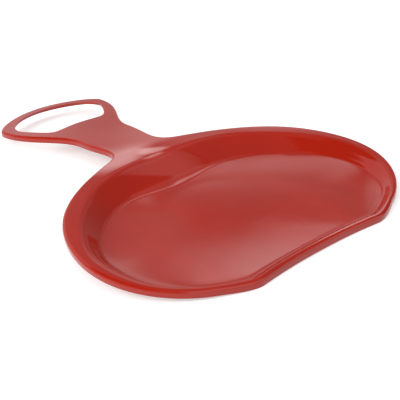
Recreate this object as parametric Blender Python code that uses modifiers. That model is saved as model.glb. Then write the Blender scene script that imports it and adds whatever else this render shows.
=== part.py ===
"""Plastic pan sled: one moulded shell with a round seat dish, a neck and a hand loop.

Metres, +Z up. The sled rests on the flat underside of its dish, whose middle is the origin. The hand loop
points along +Y and the rear edge along -Y. X = 0 is the plane of symmetry.
"""

import math

import bmesh
import bpy
import numpy as np

# Wall and edges
WALL = 0.003
LIP_HEIGHT = 0.0082
LIP_ROLL_RADIUS = 0.0036
EDGE_ROUNDING = 0.0006
LIP_GROUND_GAP = 0.0005

# Plan of the plate, the round part that holds the seat dish
PLATE_WIDTH = 0.428
WIDEST_Y = 0.023
REAR_EDGE_Y = -0.1073
REAR_BOW = 0.0052
REAR_CORNER_X = 0.090
CORNER_END_X = 0.1377
CORNER_END_Y = -0.095
SHOULDER_TOP_X = 0.1651
SHOULDER_TOP_Y = 0.1424
SHOULDER_FOOT_X = 0.0584
SHOULDER_FOOT_Y = 0.2088

# Plan of the neck and the hand loop
NECK_WIDTH = 0.0828
NECK_Y = 0.2988
LOOP_WIDTH = 0.1746
TIP_Y = 0.4875
LOOP_WIDEST_BEHIND_TIP = 0.0517
LOOP_SIDE_RAIL = 0.0166
LOOP_END_RAIL = 0.0167
HAND_HOLE_LENGTH = 0.1008
HOLE_REAR_EDGE_WIDTH = 0.071
HOLE_CORNER_DROP = 0.0043
HOLE_CORNER_WIDTH = 0.014
HOLE_CORNER_RISE = 0.0035
HOLE_WIDEST_BEHIND_FRONT = 0.053

# Heights of the rim and the loop above the ground, on their top face, and their rise per metre along Y
RIM_HEIGHT_WIDEST = 0.0223
RIM_HEIGHT_CREST = 0.0308
LOOP_HEIGHT_NECK = 0.0290
LOOP_HEIGHT_TIP = 0.0190
RISE_REAR = 0.115
RISE_WIDEST = 0.072
RISE_CREST = 0.045
RISE_NECK = -0.035
RISE_TIP = -0.040

# Flat flange between the outer edge and the rim of the dish
FLANGE_REAR = 0.0065
FLANGE_CORNER = 0.0055
FLANGE_SIDE = 0.0178
FLANGE_SHOULDER = 0.0230
CREST_Y = 0.183
BROW_X = 0.100
BROW_DROP = 0.0175

# Dish wall at the rear, the corners, the sides, the shoulders, the brows and the front, each as the
# radius of its rim, the radius of its fillet, its steepest slope in degrees, how far the floor rises
# towards the fillet, over what width it does so, and how far the flange dips towards the rim. The rise
# starts level and grows with the cube.
WALL_REAR = (0.0030, 0.008, 42.0, 0.0000, 0.020, 0.0000)
WALL_CORNER = (0.0035, 0.009, 46.0, 0.0000, 0.040, 0.0000)
WALL_SIDE = (0.0220, 0.012, 52.0, 0.0035, 0.100, 0.0000)
WALL_SHOULDER = (0.0120, 0.010, 41.0, 0.0040, 0.100, 0.0000)
WALL_BROW = (0.0180, 0.020, 37.0, 0.0025, 0.080, 0.0004)
WALL_FRONT = (0.0250, 0.050, 28.0, 0.0002, 0.020, 0.0022)
FLOOR_POWER = 3
FLANGE_DIP_WIDTH = 0.045

# Mesh steps: along each stretch of the outline, and across the shell from the outer edge inwards
STATIONS = (7, 4, 9, 8, 10, 8, 4, 3, 3, 4, 9)
ROLL_ROWS = 3
WALL_ROWS = (0.0, 0.10, 0.20, 0.32, 0.44, 0.57, 0.71, 0.85, 1.0)
INNER_ROWS = 15
CURVE_SAMPLES = 60
RIB_SAMPLES = 400
NEAR_RIM = 0.005
RIM_ROW_GAP = 0.0005

# Ribs of the mesh: places on the outline whose ribs reach the hole's rear edge, measured from that edge,
# the inner ends of the others on the axis, and how strongly a rib leaves the edge and meets its end
RIBS_FACING_HOLE = (-0.042, -0.008, 0.003)
REAR_RIB_ENDS = (0.060, 0.070, 0.080)
SIDE_RIB_END = 0.005
SHOULDER_RIB_END = -0.075
NECK_RIB_ENDS = (0.018, 0.010)
RIB_PULL_SHARE = 0.30
RIB_PULL_MOST = 0.06
DISH_ROWS_END = 3.6
NECK_ROWS_START = 4.8

SLED_NAME = "sled"
BODY_NAME = "sled_body"


def bezier_chain(knots, samples=CURVE_SAMPLES):
    """Sample a smooth curve through knots given as (x, y, heading in degrees, reach in, reach out)."""
    steps = np.linspace(0.0, 1.0, samples, endpoint=False)[:, None]
    pieces = []
    for start, end in zip(knots[:-1], knots[1:]):
        first = np.array(start[:2])
        last = np.array(end[:2])
        leave = math.radians(start[2])
        arrive = math.radians(end[2])
        pull_out = first + start[4] * np.array((math.cos(leave), math.sin(leave)))
        pull_in = last - end[3] * np.array((math.cos(arrive), math.sin(arrive)))
        pieces.append(
            (1 - steps) ** 3 * first
            + 3 * (1 - steps) ** 2 * steps * pull_out
            + 3 * (1 - steps) * steps**2 * pull_in
            + steps**3 * last
        )
    pieces.append(np.array([knots[-1][:2]]))
    return np.vstack(pieces)


def outline_knots():
    """Outer edge of the sled, from the middle of the rear edge round to the tip of the loop."""
    half_plate = PLATE_WIDTH / 2
    half_neck = NECK_WIDTH / 2
    half_loop = LOOP_WIDTH / 2
    return [
        (0.0, REAR_EDGE_Y, 0.0, 0.0, 0.035),
        (REAR_CORNER_X, REAR_EDGE_Y - REAR_BOW, -6.5, 0.035, 0.015),
        (CORNER_END_X, CORNER_END_Y, 25.0, 0.010, 0.040),
        (half_plate, WIDEST_Y, 90.0, 0.061, 0.036),
        (SHOULDER_TOP_X, SHOULDER_TOP_Y, 134.5, 0.049, 0.041),
        (SHOULDER_FOOT_X, SHOULDER_FOOT_Y, 156.5, 0.050, 0.038),
        (half_neck, NECK_Y, 90.0, 0.052, 0.044),
        (half_loop, TIP_Y - LOOP_WIDEST_BEHIND_TIP, 90.0, 0.062, 0.018),
        (0.0, TIP_Y, 180.0, 0.046, 0.0),
    ]


def offset_knot(knot, distance):
    """Where a knot of the outline lands when it moves straight inwards."""
    heading = math.radians(knot[2])
    return knot[0] - distance * math.sin(heading), knot[1] + distance * math.cos(heading)


def rim_knots():
    """Rim line of the dish, where the flange and the wall would meet in a sharp corner."""
    outline = outline_knots()
    rear_x, rear_y = offset_knot(outline[1], FLANGE_REAR)
    corner_x, corner_y = offset_knot(outline[2], FLANGE_CORNER)
    shoulder_x, shoulder_y = offset_knot(outline[4], FLANGE_SHOULDER)
    return [
        (0.0, REAR_EDGE_Y + FLANGE_REAR, 0.0, 0.0, 0.035),
        (rear_x, rear_y, -7.0, 0.035, 0.011),
        (corner_x, corner_y, 27.0, 0.008, 0.040),
        (PLATE_WIDTH / 2 - FLANGE_SIDE, WIDEST_Y, 90.0, 0.060, 0.036),
        (shoulder_x, shoulder_y, 134.5, 0.040, 0.021),
        (BROW_X, CREST_Y - BROW_DROP, 155.0, 0.021, 0.034),
        (0.0, CREST_Y, 180.0, 0.040, 0.0),
    ]


def hole_knots():
    """Edge of the hand hole, from the middle of its rear edge round to the middle of its front edge."""
    front_y = TIP_Y - LOOP_END_RAIL
    rear_y = front_y - HAND_HOLE_LENGTH
    half_rear = HOLE_REAR_EDGE_WIDTH / 2
    half_width = LOOP_WIDTH / 2 - LOOP_SIDE_RAIL
    return [
        (0.0, rear_y, 0.0, 0.0, 0.014),
        (half_rear, rear_y - HOLE_CORNER_DROP, -4.0, 0.009, 0.006),
        (half_rear + HOLE_CORNER_WIDTH, rear_y + HOLE_CORNER_RISE, 55.0, 0.006, 0.017),
        (half_width, front_y - HOLE_WIDEST_BEHIND_FRONT, 90.0, 0.007, 0.0265),
        (0.0, front_y, 180.0, 0.043, 0.0),
    ]


def rim_height(y):
    """Height of the top face outside the dish, a smooth line over knots of (y, height, rise per metre)."""
    knots = (
        (REAR_EDGE_Y - REAR_BOW, LIP_HEIGHT + LIP_GROUND_GAP, RISE_REAR),
        (WIDEST_Y, RIM_HEIGHT_WIDEST, RISE_WIDEST),
        (CREST_Y, RIM_HEIGHT_CREST, RISE_CREST),
        (NECK_Y, LOOP_HEIGHT_NECK, RISE_NECK),
        (TIP_Y, LOOP_HEIGHT_TIP, RISE_TIP),
    )
    height = np.full_like(y, knots[0][1])
    for (y0, z0, rise0), (y1, z1, rise1) in zip(knots[:-1], knots[1:]):
        span = y1 - y0
        t = np.clip((y - y0) / span, 0.0, 1.0)
        curve = (
            (2 * t**3 - 3 * t**2 + 1) * z0
            + (t**3 - 2 * t**2 + t) * span * rise0
            + (3 * t**2 - 2 * t**3) * z1
            + (t**3 - t**2) * span * rise1
        )
        height = np.where(y >= y0, curve, height)
    return height


def curve_normals(points):
    """Outward unit normals of a half curve that starts and ends square to the plane of symmetry."""
    first_mirrored = points[1] * (-1, 1)
    last_mirrored = points[-2] * (-1, 1)
    wide = np.vstack([first_mirrored, points, last_mirrored])
    along = wide[2:] - wide[:-2]
    normals = np.stack([along[:, 1], -along[:, 0]], axis=1)
    return normals / np.linalg.norm(normals, axis=1)[:, None]


class Dish:
    """Height of the seat dish below the flange, from the distance inside its rim line."""

    def __init__(self):
        """Sample the rim line and spread the wall's sizes along it."""
        self.line = bezier_chain(rim_knots())
        self.normals = curve_normals(self.line)
        walls = np.array((
            WALL_REAR, WALL_REAR, WALL_CORNER, WALL_SIDE, WALL_SHOULDER, WALL_BROW, WALL_FRONT
        ))
        knot_places = np.arange(len(walls)) * CURVE_SAMPLES
        places = np.arange(len(self.line))
        index = np.clip(np.searchsorted(knot_places, places, side="right") - 1, 0, len(walls) - 2)
        share = (places - knot_places[index]) / CURVE_SAMPLES
        share = (3 * share**2 - 2 * share**3)[:, None]
        self.walls = (1 - share) * walls[index] + share * walls[index + 1]

    def nearest(self, points):
        """Distance inside the rim line of each plan point, and the wall's sizes nearest to it."""
        starts = self.line[:-1]
        edges = self.line[1:] - starts
        to_points = points[:, None, :] - starts[None, :, :]
        along = (to_points * edges).sum(2) / (edges**2).sum(1)
        along = np.clip(along, 0.0, 1.0)
        gaps = np.linalg.norm(to_points - along[:, :, None] * edges, axis=2)
        best = gaps.argmin(axis=1)
        rows = np.arange(len(points))
        share = along[rows, best][:, None]
        foot = starts[best] + share * edges[best]
        normal = (1 - share) * self.normals[best] + share * self.normals[best + 1]
        normal /= np.linalg.norm(normal, axis=1)[:, None]
        inside = -((points - foot) * normal).sum(1)
        far = gaps[rows, best]
        inside = np.where(far > NEAR_RIM, np.sign(inside) * far, inside)
        return inside, (1 - share) * self.walls[best] + share * self.walls[best + 1]

    def top_height(self, points):
        """Height of the shell's top face at each plan point: flange, rounded rim, wall, fillet, floor."""
        inside, walls = self.nearest(points)
        near_rim = np.clip(1 + inside / FLANGE_DIP_WIDTH, 0.0, 1.0)
        rim = rim_height(points[:, 1]) - walls[:, 5] * near_rim**2
        top_radius, fillet_radius, _, rise, reach, _ = walls.T
        slope, top_start, top_end, fillet_start, fillet_end, floor_end = wall_section(rim, walls)
        in_top = np.clip(inside - top_start, 0.0, top_radius)
        on_top = rim - top_radius + np.sqrt(top_radius**2 - in_top**2)
        floor_slope = np.arctan(FLOOR_POWER * rise / reach)
        lowest = fillet_end + fillet_radius * np.sin(floor_slope)
        in_fillet = np.clip(lowest - inside, 0.0, fillet_radius)
        on_fillet = WALL + rise + fillet_radius * np.cos(floor_slope)
        on_fillet -= np.sqrt(fillet_radius**2 - in_fillet**2)
        on_floor = WALL + rise * np.clip((floor_end - inside) / reach, 0.0, 1.0) ** FLOOR_POWER
        height = np.where(inside < top_end, on_top, rim - inside * np.tan(slope))
        height = np.where(inside < top_start, rim, height)
        height = np.where(inside > fillet_start, on_fillet, height)
        return np.where(inside > fillet_end, on_floor, height)


def wall_section(rim, walls):
    """Slope of the dish wall, then where its parts start and end, as distances inside the rim line.

    The parts are the rim's arc, the fillet and the floor's gentle rise. A low wall has no room for both
    arcs at the full slope, so its slope is what the arcs alone reach.
    """
    top_radius, fillet_radius, steepest, rise, reach, _ = walls.T
    floor_slope = np.arctan(FLOOR_POWER * rise / reach)
    drop = rim - WALL - rise
    arcs = top_radius + fillet_radius * np.cos(floor_slope)
    room = (arcs - drop) / (top_radius + fillet_radius)
    slope = np.minimum(np.radians(steepest), np.arccos(np.clip(room, -1.0, 1.0)))
    top_reach = top_radius * np.tan(slope / 2)
    fillet_drop = fillet_radius * (np.cos(floor_slope) - np.cos(slope))
    fillet_start = (drop - fillet_drop) / np.tan(slope)
    fillet_end = fillet_start + fillet_radius * (np.sin(slope) - np.sin(floor_slope))
    return slope, -top_reach, top_reach * np.cos(slope), fillet_start, fillet_end, fillet_end + reach


def even_steps(curve, marks, counts):
    """Places along a sampled chain: so many equal steps between each two of its marks, and its end."""
    run = np.r_[0.0, np.cumsum(np.linalg.norm(np.diff(curve, axis=0), axis=1))]
    samples = np.arange(len(curve)) / CURVE_SAMPLES
    picked = []
    for start, end, count in zip(marks[:-1], marks[1:], counts):
        ends = np.interp((start, end), samples, run)
        picked.append(np.interp(np.linspace(*ends, count, endpoint=False), run, samples))
    picked.append([marks[-1]])
    return np.concatenate(picked)


def along_curve(curve, places):
    """Points of a sampled chain at fractional stretch numbers."""
    samples = np.arange(len(curve)) / CURVE_SAMPLES
    return np.stack([np.interp(places, samples, curve[:, axis]) for axis in (0, 1)], axis=1)


def rib_marks(outline, hole):
    """Outline places with a set inner end, and those ends: along the axis, then round the hand hole.

    The ribs from the neck to the loop's widest place reach the rear edge and the corner of the hole.
    """
    hole_rear = hole[0, 1]
    side = np.arange(6 * CURVE_SAMPLES, 7 * CURVE_SAMPLES + 1)
    facing = hole_rear + np.array(RIBS_FACING_HOLE)
    to_hole = np.interp(facing, outline[side, 1], side) / CURVE_SAMPLES
    places = np.concatenate([np.arange(7.0), to_hole, (7.0, 8.0)])
    axis_ends = np.concatenate([
        REAR_EDGE_Y + np.array(REAR_RIB_ENDS),
        (WIDEST_Y + SIDE_RIB_END, CREST_Y + SHOULDER_RIB_END),
        np.array((CREST_Y, NECK_Y)) + NECK_RIB_ENDS,
    ])
    return places, axis_ends


def rib_ends(places, marks, axis_ends, hole):
    """Inner end of the rib of each outline place, and its pull square to the hole's edge."""
    on_axis = len(axis_ends)
    heights = np.interp(places, marks[: on_axis + 1], np.append(axis_ends, hole[0, 1]))
    axis_points = np.stack([np.zeros_like(places), heights], axis=1)
    hole_places = np.interp(places, marks[on_axis:], np.arange(len(marks) - on_axis))
    beside_hole = (places > marks[on_axis])[:, None]
    ends = np.where(beside_hole, along_curve(hole, hole_places), axis_points)
    return ends, along_curve(curve_normals(hole), hole_places) * np.clip(hole_places, 0.0, 1.0)[:, None]


def row_marks(place, flange, section, length):
    """Distances along a rib at which its rows lie, closer together over the rim and the wall."""
    angles = np.linspace(0.0, math.pi / 2, ROLL_ROWS + 1)
    roll = LIP_ROLL_RADIUS * (1 - np.cos(angles))
    steps = np.linspace(0.0, 1.0, INNER_ROWS + 1)[1:]
    plain = LIP_ROLL_RADIUS + (length - LIP_ROLL_RADIUS) * steps
    top_start, fillet_end = flange + section
    rim_start = max(top_start, LIP_ROLL_RADIUS + RIM_ROW_GAP)
    shaped = np.concatenate([
        ((LIP_ROLL_RADIUS + rim_start) / 2,),
        rim_start + (fillet_end - rim_start) * np.array(WALL_ROWS),
        np.linspace(fillet_end, length, INNER_ROWS - len(WALL_ROWS))[1:],
    ])
    blend = np.clip((place - DISH_ROWS_END) / (NECK_ROWS_START - DISH_ROWS_END), 0.0, 1.0)
    blend = 3 * blend**2 - 2 * blend**3
    return np.concatenate([roll, (1 - blend) * shaped + blend * plain])


def shell_grid():
    """Top face of the right half: an array of stations along the edge by rows across the shell."""
    outline = bezier_chain(outline_knots())
    hole = bezier_chain(hole_knots())
    marks, axis_ends = rib_marks(outline, hole)
    places = even_steps(outline, marks, STATIONS)
    edges = along_curve(outline, places)
    outward = along_curve(curve_normals(outline), places)
    outward /= np.linalg.norm(outward, axis=1)[:, None]
    ends, end_pulls = rib_ends(places, marks, axis_ends, hole)
    dish = Dish()
    inside, walls = dish.nearest(edges)
    section = wall_section(rim_height(edges[:, 1]) - walls[:, 5], walls)
    sections = np.stack((section[1], section[4]), axis=1)
    steps = np.linspace(0.0, 1.0, RIB_SAMPLES)[:, None]
    grid = np.zeros((len(places), ROLL_ROWS + INNER_ROWS + 2, 3))
    for station, place in enumerate(places):
        edge = edges[station]
        end = ends[station]
        reach = np.linalg.norm(end - edge)
        leave = edge - min(RIB_PULL_MOST, RIB_PULL_SHARE * reach) * outward[station]
        arrive = end + RIB_PULL_SHARE * reach * end_pulls[station]
        rib = (
            (1 - steps) ** 3 * edge
            + 3 * (1 - steps) ** 2 * steps * leave
            + 3 * (1 - steps) * steps**2 * arrive
            + steps**3 * end
        )
        run = np.r_[0.0, np.cumsum(np.linalg.norm(np.diff(rib, axis=0), axis=1))]
        across = row_marks(place, -inside[station], sections[station], run[-1])
        grid[station, 0, :2] = edge
        grid[station, 1:, 0] = np.interp(across, run, rib[:, 0])
        grid[station, 1:, 1] = np.interp(across, run, rib[:, 1])
    return grid, dish


def make_body(collection):
    """Model the shell: half of its top face, mirrored, given its wall and rounded at its edges."""
    plan, dish = shell_grid()
    stations, rows = plan.shape[:2]
    flat = plan[:, :, :2].reshape(-1, 2)
    heights = dish.top_height(flat).reshape(stations, rows)
    angles = np.linspace(0.0, math.pi / 2, ROLL_ROWS + 1)
    heights[:, 1 : ROLL_ROWS + 2] -= LIP_ROLL_RADIUS * (1 - np.sin(angles))
    heights[:, 0] -= LIP_HEIGHT
    plan[:, :, 2] = heights

    bm = bmesh.new()
    bmesh.ops.create_grid(bm, x_segments=rows - 1, y_segments=stations - 1, size=0.5)
    for vert in bm.verts:
        row = round((vert.co.x + 0.5) * (rows - 1))
        station = round((vert.co.y + 0.5) * (stations - 1))
        vert.co = plan[station, row]
    bm.normal_update()
    if sum(face.normal.z for face in bm.faces) < 0:
        bmesh.ops.reverse_faces(bm, faces=bm.faces)
    mesh = bpy.data.meshes.new(BODY_NAME)
    bm.to_mesh(mesh)
    bm.free()
    mesh.shade_smooth()

    body = bpy.data.objects.new(BODY_NAME, mesh)
    collection.objects.link(body)
    mirror = body.modifiers.new("other_half", "MIRROR")
    mirror.use_clip = True
    mirror.merge_threshold = 0.00001
    wall = body.modifiers.new("wall", "SOLIDIFY")
    wall.thickness = WALL
    wall.offset = -1.0
    wall.use_even_offset = True
    wall.use_quality_normals = True
    edges = body.modifiers.new("rounded_edges", "BEVEL")
    edges.width = EDGE_ROUNDING
    edges.segments = 1
    edges.limit_method = "ANGLE"
    edges.angle_limit = math.radians(60)
    return body


def red_plastic():
    """Glossy red moulded plastic."""
    material = bpy.data.materials.new("red_plastic")
    material.use_nodes = True
    shader = material.node_tree.nodes["Principled BSDF"]
    shader.inputs["Base Color"].default_value = (0.42, 0.018, 0.008, 1.0)
    shader.inputs["Roughness"].default_value = 0.18
    shader.inputs["Metallic"].default_value = 0.0
    return material


def main():
    """Clear the scene and build the sled."""
    for old in list(bpy.data.objects):
        bpy.data.objects.remove(old)
    collection = bpy.data.collections.new(SLED_NAME)
    bpy.context.scene.collection.children.link(collection)
    body = make_body(collection)
    body.data.materials.append(red_plastic())


main()
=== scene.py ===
"""Plastic pan sled: its moulded shell in full detail, the red plastic, the studio and the camera.

Metres, +Z up. The sled rests on the ground, Z = 0. The hand loop points along +Y, and X = 0 is the plane of
symmetry.
"""

import logging
import math
from dataclasses import astuple, dataclass, field
from enum import Enum

import bpy
import numpy as np
from mathutils import Matrix, Vector


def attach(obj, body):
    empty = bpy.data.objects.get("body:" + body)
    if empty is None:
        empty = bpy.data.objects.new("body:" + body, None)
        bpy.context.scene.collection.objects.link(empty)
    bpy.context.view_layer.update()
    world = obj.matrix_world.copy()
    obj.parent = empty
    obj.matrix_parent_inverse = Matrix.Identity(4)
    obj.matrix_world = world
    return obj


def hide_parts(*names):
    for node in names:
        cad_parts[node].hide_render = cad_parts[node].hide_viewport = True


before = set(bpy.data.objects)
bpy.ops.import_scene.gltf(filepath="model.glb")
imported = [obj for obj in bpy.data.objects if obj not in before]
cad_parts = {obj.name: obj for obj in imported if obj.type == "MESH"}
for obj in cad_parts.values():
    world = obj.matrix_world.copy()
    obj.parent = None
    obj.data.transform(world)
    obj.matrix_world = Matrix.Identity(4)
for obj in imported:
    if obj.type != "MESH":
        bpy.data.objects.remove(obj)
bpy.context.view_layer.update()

log = logging.getLogger("pan_sled")


def smooth_share(share: np.ndarray) -> np.ndarray:
    """Ease a share from 0 to 1 so that it starts and ends level."""
    return 3 * share**2 - 2 * share**3


@dataclass(frozen=True)
class Knot:
    """A point that a curve passes through, with its heading and how far it pulls the curve on each side."""

    x: float
    y: float
    heading: float
    reach_in: float
    reach_out: float

    def direction(self) -> np.ndarray:
        """Unit vector along the curve at the knot."""
        angle = math.radians(self.heading)
        return np.array((math.cos(angle), math.sin(angle)))

    def moved_in(self, distance: float) -> tuple[float, float]:
        """Where the knot lands when it moves straight inwards, to the left of its heading."""
        along = self.direction()
        return self.x - distance * float(along[1]), self.y + distance * float(along[0])


class SmoothLine:
    """A smooth plan curve through knots, sampled evenly in each stretch between two of them."""

    samples = 60

    def __init__(self, knots: list[Knot]) -> None:
        """Sample the curve.

        Args:
            knots: The knots in order. The first and the last lie on the plane of symmetry.
        """
        steps = np.linspace(0.0, 1.0, self.samples, endpoint=False)[:, None]
        pieces = []
        for start, end in zip(knots[:-1], knots[1:]):
            first = np.array((start.x, start.y))
            last = np.array((end.x, end.y))
            pull_out = first + start.reach_out * start.direction()
            pull_in = last - end.reach_in * end.direction()
            pieces.append(
                (1 - steps) ** 3 * first
                + 3 * (1 - steps) ** 2 * steps * pull_out
                + 3 * (1 - steps) * steps**2 * pull_in
                + steps**3 * last
            )
        pieces.append(np.array([(knots[-1].x, knots[-1].y)]))
        self.points = np.vstack(pieces)
        self.places = np.arange(len(self.points)) / self.samples

    def normals(self) -> np.ndarray:
        """Find the outward direction at every sample.

        Returns:
            Unit normals, one a row.
        """
        ends = self.points[1] * (-1, 1), self.points[-2] * (-1, 1)
        wide = np.vstack([ends[0], self.points, ends[1]])
        along = wide[2:] - wide[:-2]
        normals = np.stack([along[:, 1], -along[:, 0]], axis=1)
        return normals / np.linalg.norm(normals, axis=1)[:, None]

    def at(self, places: np.ndarray, values: np.ndarray | None = None) -> np.ndarray:
        """Points, or other values known at the samples, at fractional stretch numbers.

        Args:
            places: Stretch numbers, whole at the knots.
            values: Two values at each sample, or nothing for the points themselves.

        Returns:
            One pair of values for each place.
        """
        table = self.points if values is None else values
        return np.stack([np.interp(places, self.places, table[:, axis]) for axis in (0, 1)], axis=1)

    def spread(self, marks: np.ndarray, counts: tuple[int, ...]) -> np.ndarray:
        """Spread stations evenly between marks.

        Args:
            marks: Stretch numbers where one count gives way to the next.
            counts: How many stations start from each mark.

        Returns:
            The stretch number of every station.
        """
        run = np.r_[0.0, np.cumsum(np.linalg.norm(np.diff(self.points, axis=0), axis=1))]
        picked = []
        for start, end, count in zip(marks[:-1], marks[1:], counts):
            ends = np.interp((start, end), self.places, run)
            picked.append(np.interp(np.linspace(*ends, count, endpoint=False), run, self.places))
        picked.append([marks[-1]])
        return np.concatenate(picked)


@dataclass(frozen=True)
class WallSection:
    """Section of the dish wall at one place round the rim."""

    rim_radius: float
    fillet_radius: float
    steepest: float
    floor_rise: float
    floor_reach: float
    flange_dip: float

    def as_row(self) -> tuple[float, ...]:
        """The sizes as one row of a table."""
        return astuple(self)


class Wall(Enum):
    """The dish wall's sections, in order from the rear round to the front."""

    REAR = WallSection(0.0030, 0.008, 42.0, 0.0000, 0.020, 0.0000)
    CORNER = WallSection(0.0035, 0.009, 46.0, 0.0000, 0.040, 0.0000)
    SIDE = WallSection(0.0220, 0.012, 52.0, 0.0035, 0.100, 0.0000)
    SHOULDER = WallSection(0.0120, 0.010, 41.0, 0.0040, 0.100, 0.0000)
    BROW = WallSection(0.0180, 0.020, 37.0, 0.0025, 0.080, 0.0004)
    FRONT = WallSection(0.0250, 0.050, 28.0, 0.0002, 0.020, 0.0022)


@dataclass(frozen=True)
class ShellPlan:
    """Plan of the shell: its outer edge, the rim line of the dish and the edge of the hand hole."""

    plate_width: float = 0.428
    widest_y: float = 0.023
    rear_edge_y: float = -0.1073
    rear_bow: float = 0.00508
    rear_corner_x: float = 0.090
    corner_end: tuple[float, float] = (0.1377, -0.095)
    shoulder_top: tuple[float, float] = (0.1651, 0.1424)
    shoulder_foot: tuple[float, float] = (0.0584, 0.2088)
    neck_width: float = 0.0828
    neck_y: float = 0.2988
    loop_width: float = 0.1746
    tip_y: float = 0.4875
    loop_widest_behind_tip: float = 0.0517
    loop_side_rail: float = 0.0166
    loop_end_rail: float = 0.0167
    hole_length: float = 0.1008
    hole_rear_width: float = 0.071
    hole_corner_drop: float = 0.0043
    hole_corner_width: float = 0.014
    hole_corner_rise: float = 0.0035
    hole_widest_behind_front: float = 0.053
    flange_rear: float = 0.0065
    flange_corner: float = 0.0055
    flange_side: float = 0.0178
    flange_shoulder: float = 0.0230
    crest_y: float = 0.183
    brow_x: float = 0.100
    brow_drop: float = 0.0175

    def outer_knots(self) -> list[Knot]:
        """List the knots of the outer edge.

        Returns:
            The knots, from the middle of the rear edge round to the tip of the loop.
        """
        return [
            Knot(0.0, self.rear_edge_y, 0.0, 0.0, 0.035),
            Knot(self.rear_corner_x, self.rear_edge_y - self.rear_bow, -6.5, 0.035, 0.015),
            Knot(*self.corner_end, 25.0, 0.010, 0.040),
            Knot(self.plate_width / 2, self.widest_y, 90.0, 0.061, 0.036),
            Knot(*self.shoulder_top, 134.5, 0.049, 0.041),
            Knot(*self.shoulder_foot, 156.5, 0.050, 0.038),
            Knot(self.neck_width / 2, self.neck_y, 90.0, 0.052, 0.044),
            Knot(self.loop_width / 2, self.tip_y - self.loop_widest_behind_tip, 90.0, 0.062, 0.018),
            Knot(0.0, self.tip_y, 180.0, 0.046, 0.0),
        ]

    def rim_knots(self) -> list[Knot]:
        """List the knots of the rim line, where the flange and the dish wall would meet in a sharp corner.

        Returns:
            The knots, from the middle of the rear edge round to the crest.
        """
        outer = self.outer_knots()
        return [
            Knot(0.0, self.rear_edge_y + self.flange_rear, 0.0, 0.0, 0.035),
            Knot(*outer[1].moved_in(self.flange_rear), -7.0, 0.035, 0.011),
            Knot(*outer[2].moved_in(self.flange_corner), 27.0, 0.008, 0.040),
            Knot(self.plate_width / 2 - self.flange_side, self.widest_y, 90.0, 0.060, 0.036),
            Knot(*outer[4].moved_in(self.flange_shoulder), 134.5, 0.040, 0.021),
            Knot(self.brow_x, self.crest_y - self.brow_drop, 155.0, 0.021, 0.034),
            Knot(0.0, self.crest_y, 180.0, 0.040, 0.0),
        ]

    def hole_knots(self) -> list[Knot]:
        """List the knots of the hand hole's edge.

        Returns:
            The knots, from the middle of its rear edge round to the middle of its front edge.
        """
        front_y = self.tip_y - self.loop_end_rail
        rear_y = front_y - self.hole_length
        half_rear = self.hole_rear_width / 2
        half_width = self.loop_width / 2 - self.loop_side_rail
        return [
            Knot(0.0, rear_y, 0.0, 0.0, 0.014),
            Knot(half_rear, rear_y - self.hole_corner_drop, -4.0, 0.009, 0.006),
            Knot(half_rear + self.hole_corner_width, rear_y + self.hole_corner_rise, 55.0, 0.006, 0.017),
            Knot(half_width, front_y - self.hole_widest_behind_front, 90.0, 0.007, 0.0265),
            Knot(0.0, front_y, 180.0, 0.043, 0.0),
        ]


@dataclass(frozen=True)
class HeightMark:
    """Height of the top face at one place along Y, and how fast it rises there."""

    y: float
    height: float
    rise: float


@dataclass(frozen=True)
class TopLine:
    """Height of the flange, the neck and the loop above the ground, along Y."""

    plan: ShellPlan
    rear_y: float = -0.1125

    def marks(self) -> list[HeightMark]:
        """Set the heights that the line runs through.

        Returns:
            The marks at the rear corners, the widest place, the crest, the neck and the tip.
        """
        return [
            HeightMark(self.rear_y, 0.0087, 0.115),
            HeightMark(self.plan.widest_y, 0.0223, 0.072),
            HeightMark(self.plan.crest_y, 0.0308, 0.045),
            HeightMark(self.plan.neck_y, 0.0290, -0.035),
            HeightMark(self.plan.tip_y, 0.0190, -0.040),
        ]

    def height(self, y: np.ndarray) -> np.ndarray:
        """Work out the height of the top face outside the dish.

        Args:
            y: Places along Y.

        Returns:
            The height at each place.
        """
        marks = self.marks()
        height = np.full_like(y, marks[0].height)
        for low, high in zip(marks[:-1], marks[1:]):
            span = high.y - low.y
            t = np.clip((y - low.y) / span, 0.0, 1.0)
            curve = (
                (2 * t**3 - 3 * t**2 + 1) * low.height
                + (t**3 - 2 * t**2 + t) * span * low.rise
                + (3 * t**2 - 2 * t**3) * high.height
                + (t**3 - t**2) * span * high.rise
            )
            height = np.where(y >= low.y, curve, height)
        return height


@dataclass(frozen=True)
class SectionMarks:
    """Slope of the dish wall and where its parts start and end, as distances inside the rim line."""

    slope: np.ndarray
    top_start: np.ndarray
    top_end: np.ndarray
    fillet_start: np.ndarray
    fillet_end: np.ndarray
    floor_end: np.ndarray


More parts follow.
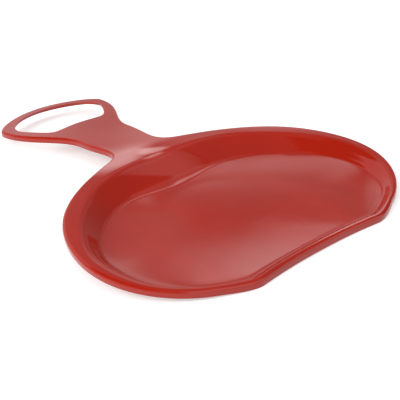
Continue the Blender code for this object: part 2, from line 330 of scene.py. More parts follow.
class SeatDish:
    """The seat dish below the flange: a rounded rim, a sloping wall, a fillet and a gently dished floor."""

    near_rim = 0.005
    floor_power = 3
    dip_width = 0.045

    def __init__(self, plan: ShellPlan, top: TopLine, wall: float) -> None:
        """Sample the rim line and spread the wall sections along it.

        Args:
            plan: The shell's plan.
            top: Heights of the flange.
            wall: Thickness of the plastic, which is the height of the dish floor's top face.
        """
        self.top = top
        self.wall = wall
        line = SmoothLine(plan.rim_knots())
        self.line = line.points
        self.normals = line.normals()
        table = np.array([Wall.REAR.value.as_row()] + [section.value.as_row() for section in Wall])
        index = np.clip(np.floor(line.places).astype(int), 0, len(table) - 2)
        share = smooth_share(line.places - index)[:, None]
        self.sections = (1 - share) * table[index] + share * table[index + 1]

    def nearest(self, points: np.ndarray) -> tuple[np.ndarray, np.ndarray]:
        """Find how far inside the rim line each plan point lies.

        Args:
            points: Plan points, one a row.

        Returns:
            The distances, negative outside the rim, and the sizes of the wall nearest to each point.
        """
        starts = self.line[:-1]
        edges = self.line[1:] - starts
        to_points = points[:, None, :] - starts[None, :, :]
        along = np.clip((to_points * edges).sum(2) / (edges**2).sum(1), 0.0, 1.0)
        gaps = np.linalg.norm(to_points - along[:, :, None] * edges, axis=2)
        best = gaps.argmin(axis=1)
        rows = np.arange(len(points))
        share = along[rows, best][:, None]
        foot = starts[best] + share * edges[best]
        normal = (1 - share) * self.normals[best] + share * self.normals[best + 1]
        normal /= np.linalg.norm(normal, axis=1)[:, None]
        inside = -((points - foot) * normal).sum(1)
        far = gaps[rows, best]
        inside = np.where(far > self.near_rim, np.sign(inside) * far, inside)
        return inside, (1 - share) * self.sections[best] + share * self.sections[best + 1]

    def marks(self, rim: np.ndarray, sections: np.ndarray) -> SectionMarks:
        """Work out the wall's slope and its parts.

        Args:
            rim: Height of the flange above each point.
            sections: Sizes of the wall nearest to each point.

        Returns:
            The slope and the ends of the parts. A low wall takes the slope that its two arcs reach.
        """
        top_radius, fillet_radius, steepest, rise, reach, _ = sections.T
        floor_slope = np.arctan(self.floor_power * rise / reach)
        drop = rim - self.wall - rise
        arcs = top_radius + fillet_radius * np.cos(floor_slope)
        room = (arcs - drop) / (top_radius + fillet_radius)
        slope = np.minimum(np.radians(steepest), np.arccos(np.clip(room, -1.0, 1.0)))
        top_reach = top_radius * np.tan(slope / 2)
        fillet_drop = fillet_radius * (np.cos(floor_slope) - np.cos(slope))
        fillet_start = (drop - fillet_drop) / np.tan(slope)
        fillet_end = fillet_start + fillet_radius * (np.sin(slope) - np.sin(floor_slope))
        return SectionMarks(
            slope, -top_reach, top_reach * np.cos(slope), fillet_start, fillet_end, fillet_end + reach
        )

    def height(self, points: np.ndarray) -> np.ndarray:
        """Work out the height of the shell's top face.

        Args:
            points: Plan points, one a row.

        Returns:
            The height at each point.
        """
        inside, sections = self.nearest(points)
        top_radius, fillet_radius, _, rise, reach, dip = sections.T
        near_rim = np.clip(1 + inside / self.dip_width, 0.0, 1.0)
        rim = self.top.height(points[:, 1]) - dip * near_rim**2
        part = self.marks(rim, sections)
        in_top = np.clip(inside - part.top_start, 0.0, top_radius)
        on_top = rim - top_radius + np.sqrt(top_radius**2 - in_top**2)
        floor_slope = np.arctan(self.floor_power * rise / reach)
        lowest = part.fillet_end + fillet_radius * np.sin(floor_slope)
        in_fillet = np.clip(lowest - inside, 0.0, fillet_radius)
        on_fillet = self.wall + rise + fillet_radius * np.cos(floor_slope)
        on_fillet = on_fillet - np.sqrt(fillet_radius**2 - in_fillet**2)
        in_floor = np.clip((part.floor_end - inside) / reach, 0.0, 1.0)
        on_floor = self.wall + rise * in_floor**self.floor_power
        height = np.where(inside < part.top_end, on_top, rim - inside * np.tan(part.slope))
        height = np.where(inside < part.top_start, rim, height)
        height = np.where(inside > part.fillet_start, on_fillet, height)
        return np.where(inside > part.fillet_end, on_floor, height)


@dataclass(frozen=True)
class RibLayout:
    """How the shell's surface is gridded: stations round the edge, and rows along a rib from each.

    Ribs end on the axis of the dish and the neck up to the neck's knot, then beside the hand hole.
    """

    neck_knot: int = 6
    stations: tuple[int, ...] = (28, 16, 36, 32, 40, 32, 16, 12, 12, 16, 36)
    roll_rows: int = 8
    wall_rows: int = 32
    floor_rows: int = 20
    facing_hole: tuple[float, ...] = (-0.042, -0.008, 0.003)
    rear_ends: tuple[float, ...] = (0.060, 0.070, 0.080)
    side_end: float = 0.005
    shoulder_end: float = -0.075
    neck_ends: tuple[float, float] = (0.018, 0.010)
    pull_share: float = 0.30
    pull_most: float = 0.06
    dish_rows_end: float = 3.6
    neck_rows_start: float = 4.8
    samples: int = 400
    first_gap: float = 0.0005


@dataclass
class MouldedShell:
    """The sled itself: one moulded shell with its seat dish, flange, lip, neck and hand loop."""

    name: str = "sled_shell"
    wall: float = 0.003
    lip_height: float = 0.0082
    lip_roll: float = 0.0036
    edge_radius: float = 0.0006
    edge_steps: int = 3
    crease_angle: float = 60.0
    smooth_angle: float = 40.0
    merge_within: float = 0.00001
    plan: ShellPlan = field(default_factory=ShellPlan)
    ribs: RibLayout = field(default_factory=RibLayout)

    def rib_marks(self, outer: SmoothLine, hole: SmoothLine) -> tuple[np.ndarray, np.ndarray]:
        """Place the ribs whose inner ends are set.

        Args:
            outer: The outer edge.
            hole: The edge of the hand hole.

        Returns:
            Stretch numbers on the outer edge, and the inner ends on the axis of the first of them. The
            others end round the hand hole, those beside the loop at its rear edge and its corner.
        """
        hole_rear = hole.points[0, 1]
        neck = self.ribs.neck_knot
        side = slice(neck * SmoothLine.samples, (neck + 1) * SmoothLine.samples + 1)
        facing = hole_rear + np.array(self.ribs.facing_hole)
        to_hole = np.interp(facing, outer.points[side, 1], outer.places[side])
        places = np.concatenate([np.arange(neck + 1.0), to_hole, (neck + 1.0, neck + 2.0)])
        plan = self.plan
        axis_ends = np.concatenate([
            plan.rear_edge_y + np.array(self.ribs.rear_ends),
            (plan.widest_y + self.ribs.side_end, plan.crest_y + self.ribs.shoulder_end),
            np.array((plan.crest_y, plan.neck_y)) + self.ribs.neck_ends,
        ])
        return places, axis_ends

    def rib_ends(
        self, places: np.ndarray, marks: np.ndarray, axis_ends: np.ndarray, hole: SmoothLine
    ) -> tuple[np.ndarray, np.ndarray]:
        """Find where each rib ends and how it meets the hole.

        Args:
            places: Stretch number of each station.
            marks: Stretch numbers of the ribs whose ends are set.
            axis_ends: Inner ends on the axis, along Y.
            hole: The edge of the hand hole.

        Returns:
            The inner ends, and each rib's pull square to the hole's edge.
        """
        on_axis = len(axis_ends)
        heights = np.interp(places, marks[: on_axis + 1], np.append(axis_ends, hole.points[0, 1]))
        axis_points = np.stack([np.zeros_like(places), heights], axis=1)
        hole_places = np.interp(places, marks[on_axis:], np.arange(len(marks) - on_axis))
        beside_hole = (places > marks[on_axis])[:, None]
        ends = np.where(beside_hole, hole.at(hole_places), axis_points)
        pulls = hole.at(hole_places, hole.normals()) * np.clip(hole_places, 0.0, 1.0)[:, None]
        return ends, pulls

    def rows_across(self, place: float, flange: float, rim: float, foot: float, length: float) -> np.ndarray:
        """Distances along a rib at which its rows lie, closer together over the rim and the wall.

        Args:
            place: Stretch number of the rib's station.
            flange: Distance from the outer edge to the rim line.
            rim: Where the rim's arc starts, from the rim line.
            foot: Where the fillet at the wall's foot ends, from the rim line.
            length: Length of the rib.

        Returns:
            The distances, the first for the lip's upper edge and the last for the rib's inner end.
        """
        ribs = self.ribs
        angles = np.linspace(0.0, math.pi / 2, ribs.roll_rows + 1)
        roll = self.lip_roll * (1 - np.cos(angles))
        count = ribs.wall_rows + ribs.floor_rows
        plain = self.lip_roll + (length - self.lip_roll) * np.linspace(0.0, 1.0, count + 1)[1:]
        rim_start = max(flange + rim, self.lip_roll + ribs.first_gap)
        shaped = np.concatenate([
            ((self.lip_roll + rim_start) / 2,),
            np.linspace(rim_start, flange + foot, ribs.wall_rows),
            np.linspace(flange + foot, length, ribs.floor_rows)[1:],
        ])
        blend = np.clip((place - ribs.dish_rows_end) / (ribs.neck_rows_start - ribs.dish_rows_end), 0.0, 1.0)
        blend = smooth_share(blend)
        return np.concatenate([roll, (1 - blend) * shaped + blend * plain])

    def top_grid(self) -> np.ndarray:
        """Work out the top face of the right half.

        Returns:
            Points in an array of stations round the edge by rows across the shell.
        """
        outer = SmoothLine(self.plan.outer_knots())
        hole = SmoothLine(self.plan.hole_knots())
        marks, axis_ends = self.rib_marks(outer, hole)
        places = outer.spread(marks, self.ribs.stations)
        edges = outer.at(places)
        outward = outer.at(places, outer.normals())
        outward /= np.linalg.norm(outward, axis=1)[:, None]
        ends, pulls = self.rib_ends(places, marks, axis_ends, hole)
        top = TopLine(self.plan)
        dish = SeatDish(self.plan, top, self.wall)
        inside, sections = dish.nearest(edges)
        flange_dip = sections.T[-1]
        part = dish.marks(top.height(edges[:, 1]) - flange_dip, sections)
        steps = np.linspace(0.0, 1.0, self.ribs.samples)[:, None]
        rows = self.ribs.roll_rows + self.ribs.wall_rows + self.ribs.floor_rows + 2
        grid = np.zeros((len(places), rows, 3))
        for station, place in enumerate(places):
            edge, end = edges[station], ends[station]
            reach = np.linalg.norm(end - edge)
            leave = edge - min(self.ribs.pull_most, self.ribs.pull_share * reach) * outward[station]
            arrive = end + self.ribs.pull_share * reach * pulls[station]
            rib = (
                (1 - steps) ** 3 * edge
                + 3 * (1 - steps) ** 2 * steps * leave
                + 3 * (1 - steps) * steps**2 * arrive
                + steps**3 * end
            )
            run = np.r_[0.0, np.cumsum(np.linalg.norm(np.diff(rib, axis=0), axis=1))]
            across = self.rows_across(
                place, -inside[station], part.top_start[station], part.fillet_end[station], run[-1]
            )
            grid[station, 0, :2] = edge
            grid[station, 1:, 0] = np.interp(across, run, rib[:, 0])
            grid[station, 1:, 1] = np.interp(across, run, rib[:, 1])
        heights = dish.height(grid[:, :, :2].reshape(-1, 2)).reshape(grid.shape[:2])
        angles = np.linspace(0.0, math.pi / 2, self.ribs.roll_rows + 1)
        heights[:, 1 : self.ribs.roll_rows + 2] -= self.lip_roll * (1 - np.sin(angles))
        heights[:, 0] -= self.lip_height
        grid[:, :, 2] = heights
        return grid

    def build(self) -> bpy.types.Object:
        """Model the shell: half of its top face from a grid, mirrored, thickened and rounded at its edges.

        Returns:
            The finished shell.
        """
        grid = self.top_grid()
        stations, rows = grid.shape[:2]
        bpy.ops.object.select_all(action="DESELECT")
        bpy.ops.mesh.primitive_grid_add(x_subdivisions=rows - 1, y_subdivisions=stations - 1, size=1.0)
        shell = bpy.context.active_object
        shell.name = self.name
        shell.data.name = self.name
        places = np.zeros(len(shell.data.vertices) * 3, np.float32)
        shell.data.vertices.foreach_get("co", places)
        places = places.reshape(-1, 3)
        row = np.rint((places[:, 0] + 0.5) * (rows - 1)).astype(int)
        station = np.rint((places[:, 1] + 0.5) * (stations - 1)).astype(int)
        shell.data.vertices.foreach_set("co", grid[station, row].ravel())
        shell.data.update()
        if sum(face.normal.z for face in shell.data.polygons) < 0:
            bpy.ops.object.mode_set(mode="EDIT")
            bpy.ops.mesh.select_all(action="SELECT")
            bpy.ops.mesh.flip_normals()
            bpy.ops.object.mode_set(mode="OBJECT")

        mirror = shell.modifiers.new("other_half", "MIRROR")
        mirror.use_clip = True
        mirror.merge_threshold = self.merge_within
        bpy.ops.object.modifier_apply(modifier=mirror.name)
        wall = shell.modifiers.new("wall", "SOLIDIFY")
        wall.thickness = self.wall
        wall.offset = -1.0
        wall.use_even_offset = True
        wall.use_quality_normals = True
        bpy.ops.object.modifier_apply(modifier=wall.name)
        edges = shell.modifiers.new("rounded_edges", "BEVEL")
        edges.width = self.edge_radius
        edges.segments = self.edge_steps
        edges.limit_method = "ANGLE"
        edges.angle_limit = math.radians(self.crease_angle)
        bpy.ops.object.modifier_apply(modifier=edges.name)
        bpy.ops.object.shade_smooth_by_angle(angle=math.radians(self.smooth_angle))
        return shell

    def dress(self, shell: bpy.types.Object, plastic: "RedPlastic") -> None:
        """Give the shell its plastic and its place in the frame.

        Args:
            shell: The finished shell.
            plastic: The finish that it takes.
        """
        shell.data.materials.clear()
        shell.data.materials.append(plastic.material())
        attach(shell, "root")
        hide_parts("sled_body")


class NodeBench:
    """Adds shader nodes to one tree and links them."""

    def __init__(self, tree: bpy.types.NodeTree) -> None:
        """Take a tree and clear it."""
        self.tree = tree
        tree.nodes.clear()

    def add(self, kind: str, **settings: object) -> bpy.types.Node:
        """Add a node and set its properties.

        Args:
            kind: The node's type name.
            settings: Properties of the node.

        Returns:
            The new node.
        """
        node = self.tree.nodes.new(kind)
        for key, value in settings.items():
            setattr(node, key, value)
        return node

    def join(self, source: bpy.types.NodeSocket, target: bpy.types.NodeSocket) -> None:
        """Link an output to an input."""
        self.tree.links.new(source, target)

    def math(self, operation: str, *values: float | bpy.types.NodeSocket) -> bpy.types.NodeSocket:
        """Add a Math node.

        Args:
            operation: What the node does.
            values: Numbers, or outputs to link.

        Returns:
            The node's output.
        """
        node = self.add("ShaderNodeMath", operation=operation)
        for place, value in enumerate(values):
            if isinstance(value, (int, float)):
                node.inputs[place].default_value = value
            else:
                self.join(value, node.inputs[place])
        return node.outputs[0]

    def rising(self, value: bpy.types.NodeSocket, low: float, high: float) -> bpy.types.NodeSocket:
        """Turn a value into a smooth step.

        Args:
            value: The value.
            low: Where the step starts, with 0 below it.
            high: Where the step ends, with 1 above it.

        Returns:
            The step.
        """
        node = self.add("ShaderNodeMapRange", interpolation_type="SMOOTHSTEP")
        self.join(value, node.inputs["Value"])
        node.inputs["From Min"].default_value = low
        node.inputs["From Max"].default_value = high
        return node.outputs[0]

    def noise(self, place: bpy.types.NodeSocket, scale: float, detail: float) -> bpy.types.NodeSocket:
        """Add a noise pattern.

        Args:
            place: Coordinates.
            scale: How fine the pattern is.
            detail: How many finer layers it has.

        Returns:
            The pattern, from 0 to 1.
        """
        node = self.add("ShaderNodeTexNoise")
        self.join(place, node.inputs["Vector"])
        node.inputs["Scale"].default_value = scale
        node.inputs["Detail"].default_value = detail
        return node.outputs["Fac"]

    def scaled_place(
        self, place: bpy.types.NodeSocket, scale: tuple[float, float, float], turn: float = 0.0
    ) -> bpy.types.NodeSocket:
        """Stretch and turn the coordinates of a pattern.

        Args:
            place: Coordinates.
            scale: Size of the pattern along each axis.
            turn: How far the pattern is turned about Z, in degrees.

        Returns:
            The pattern's coordinates.
        """
        node = self.add("ShaderNodeMapping", vector_type="TEXTURE")
        node.inputs["Rotation"].default_value = (0.0, 0.0, math.radians(turn))
        node.inputs["Scale"].default_value = scale
        self.join(place, node.inputs["Vector"])
        return node.outputs[0]


@dataclass(frozen=True)
class RedPlastic:
    """Glossy red plastic, moulded through in one colour, with a little flow and handling in its surface."""

    name: str = "red_plastic"
    colour: tuple[float, float, float] = (0.40, 0.014, 0.004)
    colour_drift: float = 0.06
    flow_size: tuple[float, float, float] = (0.05, 0.16, 0.05)
    flow_detail: float = 3.0
    flow_range: tuple[float, float] = (0.3, 0.7)
    refraction: float = 1.5
    roughness: float = 0.07
    roughness_drift: float = 0.03
    patch_scale: float = 14.0
    patch_detail: float = 4.0
    ripple_size: float = 0.020
    ripple_height: float = 0.00002
    scratch_width: float = 0.0007
    scratch_length: float = 0.030
    scratch_turns: tuple[float, ...] = (8.0, -13.0, 71.0)
    scratch_range: tuple[float, float] = (0.76, 0.84)
    scratch_roughness: float = 0.10
    scratch_depth: float = 0.000004

    def material(self) -> bpy.types.Material:
        """Build the plastic's nodes.

        Returns:
            The material.
        """
        material = bpy.data.materials.new(self.name)
        material.use_nodes = True
        bench = NodeBench(material.node_tree)
        output = bench.add("ShaderNodeOutputMaterial")
        shader = bench.add("ShaderNodeBsdfPrincipled")
        bench.join(shader.outputs[0], output.inputs["Surface"])
        shader.inputs["Metallic"].default_value = 0.0
        shader.inputs["IOR"].default_value = self.refraction
        place = bench.add("ShaderNodeTexCoord").outputs["Object"]
        self.colour_nodes(bench, place, shader)
        self.surface_nodes(bench, place, shader)
        return material

    def colour_nodes(
        self, bench: NodeBench, place: bpy.types.NodeSocket, shader: bpy.types.Node
    ) -> None:
        """Let the red drift a little, as the melt mixed its pigment.

        Args:
            bench: The material's nodes.
            place: Object coordinates.
            shader: The shader that takes the colour.
        """
        flow = bench.noise(bench.scaled_place(place, self.flow_size), 1.0, self.flow_detail)
        ramp = bench.add("ShaderNodeValToRGB")
        bench.join(flow, ramp.inputs[0])
        drifts = (-self.colour_drift, self.colour_drift)
        for stop, drift, position in zip(ramp.color_ramp.elements, drifts, self.flow_range):
            stop.color = (*(channel * (1 + drift) for channel in self.colour), 1.0)
            stop.position = position
        bench.join(ramp.outputs[0], shader.inputs["Base Color"])

    def surface_nodes(
        self, bench: NodeBench, place: bpy.types.NodeSocket, shader: bpy.types.Node
    ) -> None:
        """Give the gloss its soft ripple, fine hairlines and slightly duller patches.

        Args:
            bench: The material's nodes.
            place: Object coordinates.
            shader: The shader that takes the roughness and the bump.
        """
        hairlines: float | bpy.types.NodeSocket = 0.0
        for turn in self.scratch_turns:
            stretched = bench.scaled_place(place, (self.scratch_width, self.scratch_length, 1.0), turn)
            hair = bench.rising(bench.noise(stretched, 1.0, 0.0), *self.scratch_range)
            hairlines = bench.math("MAXIMUM", hairlines, hair)
        patches = bench.noise(place, self.patch_scale, self.patch_detail)
        least = self.roughness - self.roughness_drift
        patchy = bench.math("MULTIPLY_ADD", patches, 2 * self.roughness_drift, least)
        scratched = bench.math("MULTIPLY_ADD", hairlines, self.scratch_roughness, patchy)
        bench.join(scratched, shader.inputs["Roughness"])
        ripple = bench.math("MULTIPLY", bench.noise(place, 1.0 / self.ripple_size, 1.0), self.ripple_height)
        depth = bench.math("MULTIPLY_ADD", hairlines, -self.scratch_depth, ripple)
        bump = bench.add("ShaderNodeBump")
        bump.inputs["Distance"].default_value = 1.0
        bench.join(depth, bump.inputs["Height"])
        bench.join(bump.outputs[0], shader.inputs["Normal"])


@dataclass(frozen=True)
class SoftPanel:
    """A soft light panel round the sled, in degrees to the right of the camera's heading and above level.

    Its lower and upper edges drop to the right by slant degrees for each degree.
    """

    left: float
    right: float
    side_blur: float
    low: float
    high: float
    height_blur: float
    level: float
    slant: float = 0.0


@dataclass(frozen=True)
class GridBox:
    """A soft box behind a grid, near the sled, which shows only in its gloss.

    It stands ahead of the origin and to the right along the camera's heading, faces the looks that go
    turn degrees to the right and rise degrees up, and fades to nothing at half_spread from them. Its glow
    fades over soft_share of its width and length at each edge, and it leans by lean degrees in its plane.
    """

    ahead: float
    aside: float
    height: float
    turn: float
    rise: float
    width: float
    length: float
    half_spread: float
    level: float
    soft_share: float = 0.35
    lean: float = 0.0

    def hang(self, name: str, heading: float) -> bpy.types.Object:
        """Hang the soft box.

        Args:
            name: The lamp's name.
            heading: The camera's heading in degrees to the right of +Y.

        Returns:
            The lamp.
        """
        start = math.radians(heading)
        turn = math.radians(heading + self.turn)
        rise, spread = math.radians(self.rise), math.radians(self.half_spread)
        look = Vector((math.sin(turn) * math.cos(rise), math.cos(turn) * math.cos(rise), math.sin(rise)))
        level_right = Vector((math.cos(turn), -math.sin(turn), 0.0))
        level_up = level_right.cross(look)
        lean = math.radians(self.lean)
        right = level_right * math.cos(lean) + level_up * math.sin(lean)
        place = Vector((
            self.ahead * math.sin(start) + self.aside * math.cos(start),
            self.ahead * math.cos(start) - self.aside * math.sin(start),
            self.height,
        ))
        bpy.ops.object.light_add(type="AREA")
        lamp = bpy.context.active_object
        lamp.name = name
        lamp.matrix_world = Matrix.Translation(place) @ Matrix(
            (right, look.cross(right), look)
        ).transposed().to_4x4()
        lamp.data.shape = "RECTANGLE"
        lamp.data.size = self.width
        lamp.data.size_y = self.length
        lamp.data.spread = 2 * spread
        narrowing = (math.tan(spread) - spread) / math.tan(spread)
        lamp.data.energy = self.level * math.pi * self.width * self.length * narrowing
        lamp.visible_camera = False
        lamp.visible_diffuse = False
        self.soften(lamp.data)
        return lamp

    def soften(self, light: bpy.types.AreaLight) -> None:
        """Fade the box's glow towards its edges.

        Args:
            light: The lamp's light.
        """
        light.use_nodes = True
        bench = NodeBench(light.node_tree)
        output = bench.add("ShaderNodeOutputLight")
        glow = bench.add("ShaderNodeEmission")
        split = bench.add("ShaderNodeSeparateXYZ")
        bench.join(bench.add("ShaderNodeNewGeometry").outputs["Parametric"], split.inputs[0])
        fades = []
        for across in split.outputs[:2]:
            fades.append(bench.rising(across, 0.0, self.soft_share))
            fades.append(bench.math("SUBTRACT", 1.0, bench.rising(across, 1.0 - self.soft_share, 1.0)))
        level = bench.math("MULTIPLY", bench.math("MULTIPLY", *fades[:2]), bench.math("MULTIPLY", *fades[2:]))
        bench.join(level, glow.inputs["Strength"])
        bench.join(glow.outputs[0], output.inputs["Surface"])


@dataclass
class Studio:
    """Pale floor, soft panels round the sled, gridded soft boxes near it and one large lamp above it."""

    heading: float = 38.1
    base_level: float = 0.33
    diffuse_level: float = 0.96
    backdrop_level: float = 1.0
    floor_half: float = 6.0
    floor_shade: float = 0.80
    floor_glow: float = 0.45
    lamp_place: tuple[float, float, float] = (-2.2, 0.3, 1.5)
    lamp_target: tuple[float, float, float] = (0.0, 0.1, 0.0)
    lamp_size: float = 1.6
    lamp_power: float = 36.0
    panels: tuple[SoftPanel, ...] = (
        SoftPanel(-178, 178, 2, -60, 26, 2, 0.58),
        SoftPanel(-64, -9.5, 3, 8, 25.5, 1.5, 0.97),
        SoftPanel(-5, 12, 3, 12, 25.8, 1.5, 0.76),
        SoftPanel(8, 70, 6, -60, 22, 5, 0.30),
        SoftPanel(34, 75, 5, 5, 61, 1.5, 0.20),
        SoftPanel(-72, -3, 3, 27, 47, 1.5, 0.45),
        SoftPanel(-72, -13, 4, 8, 47.5, 1, 0.95),
        SoftPanel(-150, -9, 5, 48, 74, 1, 0.04),
        SoftPanel(18, 48, 3, 50, 80, 1.5, 0.62),
        SoftPanel(-12, 15, 3, 30, 34, 1.6, 0.45, 0.25),
        SoftPanel(85, 112, 8, 5, 55, 6, 1.6),
        SoftPanel(112, 178, 8, 15, 63, 6, 1.8),
        SoftPanel(-150, -75, 8, 28, 66, 6, 0.05),
    )
    soft_boxes: tuple[GridBox, ...] = (
        # For the crest, on its left.
        GridBox(0.190, -0.165, 0.0570, -6, 31, 0.110, 0.055, 13, 3.0),
        # For the crest, on its right.
        GridBox(0.175, -0.115, 0.0415, -2, 32, 0.060, 0.014, 13, 2.6),
        # For the turn of the crest into the wall.
        GridBox(0.157, -0.102, 0.0455, 12, 48, 0.100, 0.022, 10, 3.0),
        # For the near floor.
        GridBox(0.250, 0.000, 0.2250, 3, 40, 0.350, 0.160, 12, 3.2),
        # For the near floor's right, with its step.
        GridBox(0.250, 0.110, 0.2050, 14, 39, 0.340, 0.100, 13.5, 3.6, 0.12),
        # For the far floor.
        GridBox(0.2236, 0.070, 0.0690, 5, 35, 0.440, 0.045, 9, 1.0),
        # For the neck and the far flange.
        GridBox(0.300, 0.030, 0.0700, 0, 22, 0.700, 0.080, 14, 0.62),
        # For the near floor's left.
        GridBox(0.075, -0.130, 0.0850, -1, 24, 0.150, 0.140, 8, 0.5),
        # For the right wall.
        GridBox(0.127, 0.172, 0.0560, 6, 30, 0.040, 0.070, 10, 0.75),
        # For the upper band of the left wall.
        GridBox(0.1411, -0.0937, 0.0408, 52, 57, 0.036, 0.115, 14, 0.6, 0.12, 21.6),
    )

    def floor(self) -> bpy.types.Object:
        """Lay the floor: white to the camera but for the sled's shadow, and pale to the light.

        Returns:
            The floor.
        """
        bpy.ops.object.select_all(action="DESELECT")
        bpy.ops.mesh.primitive_plane_add(size=2 * self.floor_half)
        floor = bpy.context.active_object
        floor.name = "studio_floor"
        material = bpy.data.materials.new("studio_floor")
        material.use_nodes = True
        bench = NodeBench(material.node_tree)
        output = bench.add("ShaderNodeOutputMaterial")
        pale = bench.add("ShaderNodeBsdfDiffuse")
        pale.inputs["Color"].default_value = (self.floor_shade,) * 3 + (1.0,)
        glow = bench.add("ShaderNodeEmission")
        rays = bench.add("ShaderNodeLightPath")
        seen = rays.outputs["Is Camera Ray"]
        for way in ("Is Glossy Ray", "Is Transmission Ray"):
            seen = bench.math("MAXIMUM", seen, rays.outputs[way])
        bench.join(bench.math("MULTIPLY", seen, self.floor_glow), glow.inputs["Strength"])
        both = bench.add("ShaderNodeAddShader")
        bench.join(pale.outputs[0], both.inputs[0])
        bench.join(glow.outputs[0], both.inputs[1])
        bench.join(both.outputs[0], output.inputs["Surface"])
        floor.data.materials.append(material)
        return floor

    def surroundings(self) -> bpy.types.World:
        """Surround the sled with the soft panels, white to the camera and even to matt surfaces.

        Returns:
            The world.
        """
        world = bpy.data.worlds.new("studio")
        world.use_nodes = True
        bpy.context.scene.world = world
        bench = NodeBench(world.node_tree)
        output = bench.add("ShaderNodeOutputWorld")
        background = bench.add("ShaderNodeBackground")
        bench.join(background.outputs[0], output.inputs["Surface"])
        split = bench.add("ShaderNodeSeparateXYZ")
        bench.join(bench.add("ShaderNodeTexCoord").outputs["Generated"], split.inputs[0])
        x, y, z = split.outputs
        sine, cosine = math.sin(math.radians(self.heading)), math.cos(math.radians(self.heading))
        ahead = bench.math("ADD", bench.math("MULTIPLY", x, sine), bench.math("MULTIPLY", y, cosine))
        aside = bench.math("SUBTRACT", bench.math("MULTIPLY", x, cosine), bench.math("MULTIPLY", y, sine))
        turn = bench.math("DEGREES", bench.math("ARCTAN2", aside, ahead))
        rise = bench.math("DEGREES", bench.math("ARCSINE", z))
        level: float | bpy.types.NodeSocket = self.base_level
        for panel in self.panels:
            level = self.lay_panel(bench, panel, turn, rise, level)
        rays = bench.add("ShaderNodeLightPath")
        level = self.swap(bench, rays.outputs["Is Diffuse Ray"], level, self.diffuse_level)
        level = self.swap(bench, rays.outputs["Is Camera Ray"], level, self.backdrop_level)
        bench.join(level, background.inputs["Strength"])
        return world

    def lay_panel(
        self,
        bench: NodeBench,
        panel: SoftPanel,
        turn: bpy.types.NodeSocket,
        rise: bpy.types.NodeSocket,
        level: float | bpy.types.NodeSocket,
    ) -> bpy.types.NodeSocket:
        """Lay one panel over the level so far.

        Args:
            bench: The world's nodes.
            panel: The panel.
            turn: Degrees to the right of the heading.
            rise: Degrees above level.
            level: Brightness behind the panel.

        Returns:
            The brightness with the panel in place.
        """
        after_left = bench.rising(turn, panel.left - panel.side_blur, panel.left + panel.side_blur)
        after_right = bench.rising(turn, panel.right - panel.side_blur, panel.right + panel.side_blur)
        tilted = bench.math("MULTIPLY_ADD", turn, panel.slant, rise)
        after_low = bench.rising(tilted, panel.low - panel.height_blur, panel.low + panel.height_blur)
        after_high = bench.rising(tilted, panel.high - panel.height_blur, panel.high + panel.height_blur)
        across = bench.math("MULTIPLY", after_left, bench.math("SUBTRACT", 1.0, after_right))
        upright = bench.math("MULTIPLY", after_low, bench.math("SUBTRACT", 1.0, after_high))
        cover = bench.math("MULTIPLY", across, upright)
        bare = bench.math("SUBTRACT", 1.0, cover)
        behind = bench.math("MULTIPLY", bare, level)
        return bench.math("MULTIPLY_ADD", cover, panel.level, behind)

    def swap(
        self, bench: NodeBench, when: bpy.types.NodeSocket, level: bpy.types.NodeSocket, other: float
    ) -> bpy.types.NodeSocket:
        """Give one kind of ray another level.

        Args:
            bench: The world's nodes.
            when: 1 for that kind of ray, 0 for the rest.
            level: The level of the rest.
            other: The level of that kind.

        Returns:
            The level for every ray.
        """
        mix = bench.add("ShaderNodeMix", data_type="FLOAT")
        bench.join(when, mix.inputs["Factor"])
        bench.join(level, mix.inputs["A"])
        mix.inputs["B"].default_value = other
        return mix.outputs["Result"]

    def lamp(self) -> bpy.types.Object:
        """Hang the large soft lamp above the sled.

        Returns:
            The lamp.
        """
        aim = Vector(self.lamp_target) - Vector(self.lamp_place)
        bpy.ops.object.light_add(
            type="AREA", location=self.lamp_place, rotation=aim.to_track_quat("-Z", "Y").to_euler()
        )
        lamp = bpy.context.active_object
        lamp.name = "overhead_lamp"
        lamp.data.energy = self.lamp_power
        lamp.data.size = self.lamp_size
        lamp.visible_glossy = False
        return lamp

    def grid_lamps(self) -> list[bpy.types.Object]:
        """Hang the gridded soft boxes.

        Returns:
            The lamps.
        """
        return [box.hang(f"soft_box_{count}", self.heading) for count, box in enumerate(self.soft_boxes, 1)]


@dataclass(frozen=True)
class PhotoCamera:
    """The camera, where the photograph was taken from.

    Its angles are in radians, and its lens and sensor in millimetres.
    """

    place: tuple[float, float, float] = (-0.60762, -0.67697, 0.48923)
    heading: float = 0.6654
    dip: float = 0.4673
    roll: float = -0.0817
    lens: float = 79.398
    sensor: float = 36.0
    nearest: float = 0.01

    def stand(self) -> bpy.types.Object:
        """Stand the camera and make it the scene's.

        Returns:
            The camera.
        """
        sine, cosine = math.sin(self.heading), math.cos(self.heading)
        view = Vector((sine * math.cos(self.dip), cosine * math.cos(self.dip), -math.sin(self.dip)))
        level_right = Vector((cosine, -sine, 0.0))
        level_up = level_right.cross(view)
        right = level_right * math.cos(self.roll) + level_up * math.sin(self.roll)
        up = level_up * math.cos(self.roll) - level_right * math.sin(self.roll)
        turn = Matrix((right, up, -view)).transposed().to_4x4()
        bpy.ops.object.camera_add()
        camera = bpy.context.active_object
        camera.name = "photo_camera"
        camera.matrix_world = Matrix.Translation(self.place) @ turn
        camera.data.sensor_width = self.sensor
        camera.data.lens = self.lens
        camera.data.clip_start = self.nearest
        bpy.context.scene.camera = camera
        return camera


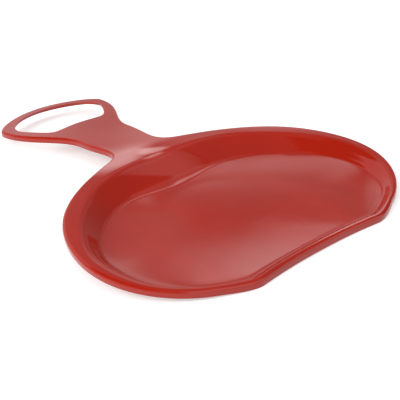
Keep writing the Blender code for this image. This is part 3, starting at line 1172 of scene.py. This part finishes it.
def main() -> None:
    """Build the studio, the camera and the sled, and log the shell's face count."""
    logging.basicConfig(level=logging.INFO, format="%(name)s: %(message)s")
    bpy.context.scene.view_settings.view_transform = "Standard"
    studio = Studio()
    studio.floor()
    studio.surroundings()
    studio.lamp()
    studio.grid_lamps()
    PhotoCamera().stand()
    parts = MouldedShell()
    shell = parts.build()
    parts.dress(shell, RedPlastic())
    log.info("%s: %d faces", shell.name, len(shell.data.polygons))


if __name__ == "__main__":
    main()
